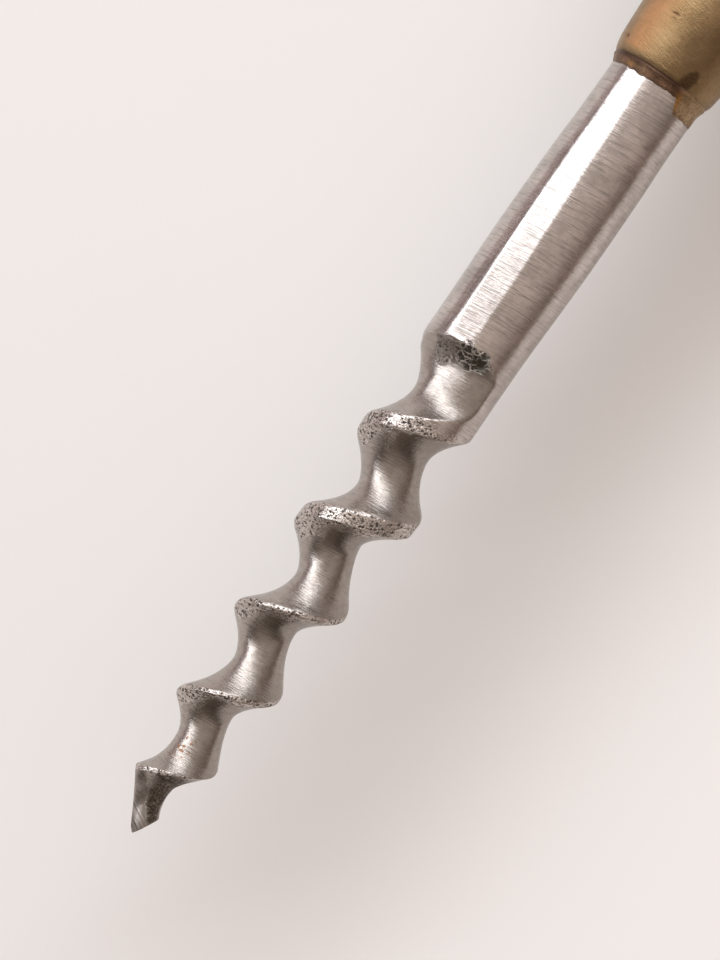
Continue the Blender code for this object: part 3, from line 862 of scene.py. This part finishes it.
def brass_material(name="brass", has_marks=True):
    n = Nodes(name)
    place = n.position()
    slanted = n.turned(place, 14.0)
    lines = n.noise(n.scaled(slanted, (6.0, 0.8, 0.8)), detail=4.0, roughness=0.65)
    cloud = n.noise(place, scale=0.42, detail=4.0, roughness=0.55)
    blotch = n.noise(place, scale=1.6, detail=4.0, roughness=0.7)
    grit = n.noise(place, scale=9.0, detail=3.0, roughness=0.7)
    base = n.mix(n.ramp(cloud, 0.35, 0.68), colour(0.34, 0.227, 0.117), colour(0.24, 0.156, 0.076))
    base = n.mix(n.ramp(blotch, 0.52, 0.78), base, colour(0.29, 0.19, 0.09))
    base = n.mix(n.ramp(lines, 0.50, 0.80), base, colour(0.26, 0.17, 0.08))
    roughness = n.span(lines, 0.24, 0.42)
    normal = n.bump(lines, 0.00007, 0.8)
    normal = n.bump(n.math("ADD", grit, blotch), 0.00006, 0.7, normal)
    if not has_marks:
        return n.finish(Base_Color=base, Metallic=1.0, Roughness=roughness, Normal=normal)
    # Painted reflection: the reddish band is laid into the colour.
    painted_reflection = n.math("MULTIPLY", n.attribute("painted_reflection"), n.span(n.ramp(blotch, 0.3, 0.7), 0.65, 1.0))
    base = n.mix(painted_reflection, base, colour(0.50, 0.245, 0.10))
    stain = n.attribute("stain")
    stain = n.math("MULTIPLY", stain, n.span(n.ramp(grit, 0.3, 0.6), 0.75, 1.0))
    tarnish = n.attribute("tarnish")
    inside = n.attribute("inside")
    base = n.mix(n.math("MULTIPLY", inside, 0.6), base, colour(0.12, 0.08, 0.045))
    base = n.mix(stain, base, colour(0.075, 0.038, 0.013))
    base = n.mix(n.math("MULTIPLY", tarnish, 0.8), base, colour(0.085, 0.042, 0.025))
    spoiled = n.math("MAXIMUM", stain, tarnish)
    roughness = n.math("MULTIPLY_ADD", spoiled, 0.2, roughness)
    metal = n.math("SUBTRACT", 1.0, n.math("MULTIPLY", spoiled, 0.3))
    # Less metallic under the painted reflection, so that its colour shows.
    metal = n.math("MULTIPLY", metal, n.span(painted_reflection, 1.0, 0.35))
    return n.finish(Base_Color=base, Metallic=metal, Roughness=roughness, Normal=normal)


def bronze_material():
    n = Nodes("bronze")
    place = n.position()
    grit = n.noise(place, scale=5.0, detail=4.0, roughness=0.7)
    cloud = n.noise(place, scale=1.3, detail=3.0)
    tongue = n.attribute("tongue")
    ring = n.mix(n.ramp(cloud, 0.35, 0.65), colour(0.30, 0.18, 0.11), colour(0.15, 0.085, 0.05))
    film = n.mix(n.ramp(cloud, 0.35, 0.65), colour(0.44, 0.31, 0.17), colour(0.33, 0.21, 0.11))
    base = n.mix(tongue, ring, film)
    # Amber tint, and a painted orange glint.
    base = n.mix(n.ramp(n.attribute("amber_and_glint"), 0.2, 1.1), base, colour(0.42, 0.205, 0.055))
    base = n.mix(n.ramp(grit, 0.45, 0.75), base, colour(0.14, 0.085, 0.05))
    base = n.mix(n.math("MULTIPLY", n.attribute("rim"), 0.45), base, colour(0.14, 0.10, 0.07))
    base = n.mix(n.math("MULTIPLY", n.attribute("dark"), 0.9), base, colour(0.055, 0.028, 0.018))
    normal = n.bump(n.math("ADD", grit, cloud), 0.00007, 0.6)
    return n.finish(Base_Color=base, Metallic=0.85, Roughness=n.span(grit, 0.3, 0.55), Normal=normal)


def wood_material():
    n = Nodes("wood")
    place = n.position()
    drift = n.noise(n.scaled(place, (0.012, 0.07, 0.07)), detail=3.0)
    across = n.scaled(place, (0.03, 1.0, 1.0))
    off_pith = n.vector_math("ADD", across, (0.0, 9.0, 26.0))[0]
    reach = n.vector_math("LENGTH", off_pith)["Value"]
    rings = n.math("SINE", n.math("MULTIPLY_ADD", reach, 1.9, n.math("MULTIPLY", drift, 26.0)))
    rings = n.span(rings, 0.5, 1.0)
    late = n.ramp(rings, 0.35, 0.95)
    fibre = n.noise(n.scaled(place, (0.09, 2.6, 2.6)), detail=4.0, roughness=0.65)
    pores = n.noise(n.scaled(place, (0.28, 5.5, 5.5)), detail=2.0, roughness=0.5)
    pore = n.math("MULTIPLY", n.ramp(pores, 0.37, 0.29), n.span(late, 0.9, 0.4))
    tone = n.noise(n.scaled(place, (0.02, 0.12, 0.12)), detail=3.0)
    base = n.mix(late, colour(0.20, 0.088, 0.034), colour(0.10, 0.039, 0.015))
    base = n.mix(n.ramp(tone, 0.35, 0.7), base, colour(0.145, 0.057, 0.021))
    base = n.mix(n.math("MULTIPLY", n.ramp(fibre, 0.45, 0.75), 0.6), base, colour(0.27, 0.13, 0.055))
    base = n.mix(pore, base, colour(0.04, 0.016, 0.008))
    base = n.mix(n.math("MULTIPLY", n.attribute("worn"), 0.35), base, colour(0.34, 0.18, 0.08))
    roughness = n.span(fibre, 0.34, 0.52)
    normal = n.bump(pore, -0.00008, 0.7)
    normal = n.bump(fibre, 0.00006, 0.4, normal)
    n.shader.inputs["Coat Weight"].default_value = 0.25
    n.shader.inputs["Coat Roughness"].default_value = 0.22
    return n.finish(Base_Color=base, Roughness=roughness, Normal=normal)


def fastener_material():
    n = Nodes("fastener_steel")
    place = n.position()
    cloud = n.noise(place, scale=0.9, detail=4.0)
    lines = n.noise(n.scaled(place, (8.0, 1.0, 1.0)), detail=3.0)
    base = n.mix(n.ramp(cloud, 0.35, 0.7), colour(0.58, 0.57, 0.55), colour(0.38, 0.36, 0.34))
    normal = n.bump(lines, 0.00003, 0.5)
    return n.finish(Base_Color=base, Metallic=1.0, Roughness=n.span(cloud, 0.28, 0.5), Normal=normal)


# ---------------------------------------------------------------- stage


def floor_material():
    n = Nodes("floor")
    position = n.add("ShaderNodeTexCoord").outputs["Object"]
    cloud = n.noise(position, scale=14.0, detail=4.0)
    base = n.mix(cloud, colour(0.86, 0.85, 0.84), colour(0.89, 0.885, 0.875))
    # Painted light: the floor is made paler on the +Y side, lifting the shadow that falls there.
    side = n.add("ShaderNodeSeparateXYZ", {0: position}).outputs["Y"]
    base = n.mix(n.ramp(side, 0.008, 0.03), base, colour(0.95, 0.945, 0.935))
    return n.finish(Base_Color=base, Roughness=0.6)


def make_floor():
    bpy.ops.mesh.primitive_plane_add(size=3.0)
    floor = bpy.context.object
    floor.name = "floor"
    floor.data.materials.append(floor_material())


def make_flag():
    """A red-brown board on the floor, out of the picture. Only reflections in the metal show it."""
    near, far = -FLAG_NEAR * MM, -FLAG_FAR * MM
    tip, butt = (TIP_X - station * MM for station in FLAG_STATIONS)
    corners = [(butt, far), (tip, far), (tip, near), (butt, near)]
    points = [(x, y, z) for z in (0.0002, 0.002) for x, y in corners]
    faces = [(3, 2, 1, 0), (4, 5, 6, 7)]
    faces += [(i, (i + 1) % 4, (i + 1) % 4 + 4, i + 4) for i in range(4)]
    n = Nodes("flag")
    weave = n.noise(n.position(), scale=0.3, detail=3.0)
    base = n.mix(weave, colour(0.20, 0.055, 0.045), colour(0.27, 0.085, 0.07))
    material = n.finish(Base_Color=base, Roughness=0.8)
    flag = add_mesh("flag", points, faces, material)
    flag.visible_camera = flag.visible_diffuse = flag.visible_shadow = False


def view_axes():
    turn = math.radians(VIEW_TURN)
    right = Vector((-math.cos(turn), math.sin(turn), 0.0))
    up = Vector((-math.sin(turn), -math.cos(turn), 0.0))
    return right, up


def make_camera():
    right, up = view_axes()
    back = Vector((0.0, 0.0, 1.0))
    distance = LENS / SENSOR * VIEW_HEIGHT * MM
    place = Vector((TIP_X - VIEW_CENTRE_STATION * MM, VIEW_CENTRE_SIDE * MM, AXIS_Z + distance))
    data = bpy.data.cameras.new("camera")
    data.lens = LENS
    data.sensor_width = SENSOR
    data.clip_start = 0.01
    camera = bpy.data.objects.new("camera", data)
    rows = [(*row, p) for row, p in zip(zip(right, up, back), place)]
    camera.matrix_world = Matrix([*rows, (0, 0, 0, 1)])
    bpy.context.scene.collection.objects.link(camera)
    bpy.context.scene.camera = camera


def softbox(name, bearing, elevation, distance, size, radiance, tint):
    """An area light. Its bearing is in degrees from the -Y side towards the handle."""
    aim = Vector((TIP_X - VIEW_CENTRE_STATION * MM, 0.0, AXIS_Z))
    turn, rise = math.radians(bearing), math.radians(elevation)
    level = math.cos(rise)
    towards = Vector((-math.sin(turn) * level, -math.cos(turn) * level, math.sin(rise)))
    data = bpy.data.lights.new(name, "AREA")
    data.shape = "RECTANGLE"
    data.size, data.size_y = size
    data.energy = radiance * math.pi * size[0] * size[1]
    data.color = tint
    light = bpy.data.objects.new(name, data)
    light.location = aim + distance * towards
    light.rotation_euler = (-towards).to_track_quat("-Z", "Y").to_euler()
    light.visible_camera = False
    bpy.context.scene.collection.objects.link(light)


def make_world():
    """A plain room, pale overhead and brown towards the horizon, most of all on the -Y side."""
    world = bpy.data.worlds.new("world")
    world.use_nodes = True
    n = Nodes.of_tree(world.node_tree)
    place = n.add("ShaderNodeTexCoord").outputs["Generated"]
    parts = n.add("ShaderNodeSeparateXYZ", {0: place}).outputs
    away = n.ramp(parts["Y"], -0.55, 0.15)
    low = n.mix(away, colour(0.15, 0.05, 0.045), colour(0.265, 0.194, 0.163))
    towards_tip = n.ramp(parts["X"], -0.05, 0.65)
    low = n.mix(towards_tip, low, colour(0.132, 0.11, 0.092))
    height = n.math("MULTIPLY_ADD", towards_tip, -0.22, parts["Z"])
    tone = n.mix(n.ramp(height, 0.05, 0.92), low, colour(0.69, 0.60, 0.54))
    rays = n.add("ShaderNodeLightPath").outputs
    warmer = n.mix(1.0, tone, colour(0.92, 0.87, 0.84), "MULTIPLY")
    tone = n.mix(rays["Is Diffuse Ray"], tone, warmer)
    tone = n.mix(rays["Is Camera Ray"], tone, colour(0.80, 0.78, 0.77))
    n.set(n.tree.nodes["Background"].inputs["Color"], tone)
    bpy.context.scene.world = world


def make_lights():
    softbox("key", 35.0, 37.0, 1.2, (2.9, 0.82), 1.87, (0.94, 1.0, 1.06))
    softbox("hot_strip", 35.0, 32.0, 1.1, (2.6, 0.18), 4.6, (0.95, 1.0, 1.05))
    softbox("fill", 80.0, 27.0, 0.5, (0.6, 0.42), 0.45, (0.95, 1.0, 1.05))
    make_world()
    bpy.context.scene.view_settings.view_transform = "Standard"


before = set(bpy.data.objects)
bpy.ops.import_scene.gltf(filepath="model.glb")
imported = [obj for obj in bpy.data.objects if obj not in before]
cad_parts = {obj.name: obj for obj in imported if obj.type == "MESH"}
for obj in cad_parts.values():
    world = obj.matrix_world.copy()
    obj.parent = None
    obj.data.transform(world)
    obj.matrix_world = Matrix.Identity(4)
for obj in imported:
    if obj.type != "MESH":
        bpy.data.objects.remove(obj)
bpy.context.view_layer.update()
TIP_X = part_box("blade")[1].x
AXIS_Z = (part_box("handle")[0].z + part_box("handle")[1].z) / 2

make_camera()
make_lights()
make_floor()
make_flag()
make_blade(steel_material())
brass = brass_material()
make_bolster(brass)
make_braze(bronze_material())
plain_brass = brass_material("pin_brass", has_marks=False)
make_pin("left", 1, plain_brass)
make_pin("right", -1, plain_brass)
make_handle(wood_material())
make_cap(brass)
fastener = fastener_material()
for label in ("tang_washer", "tang_nut"):
    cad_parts[label].data.materials.clear()
    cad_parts[label].data.materials.append(fastener)
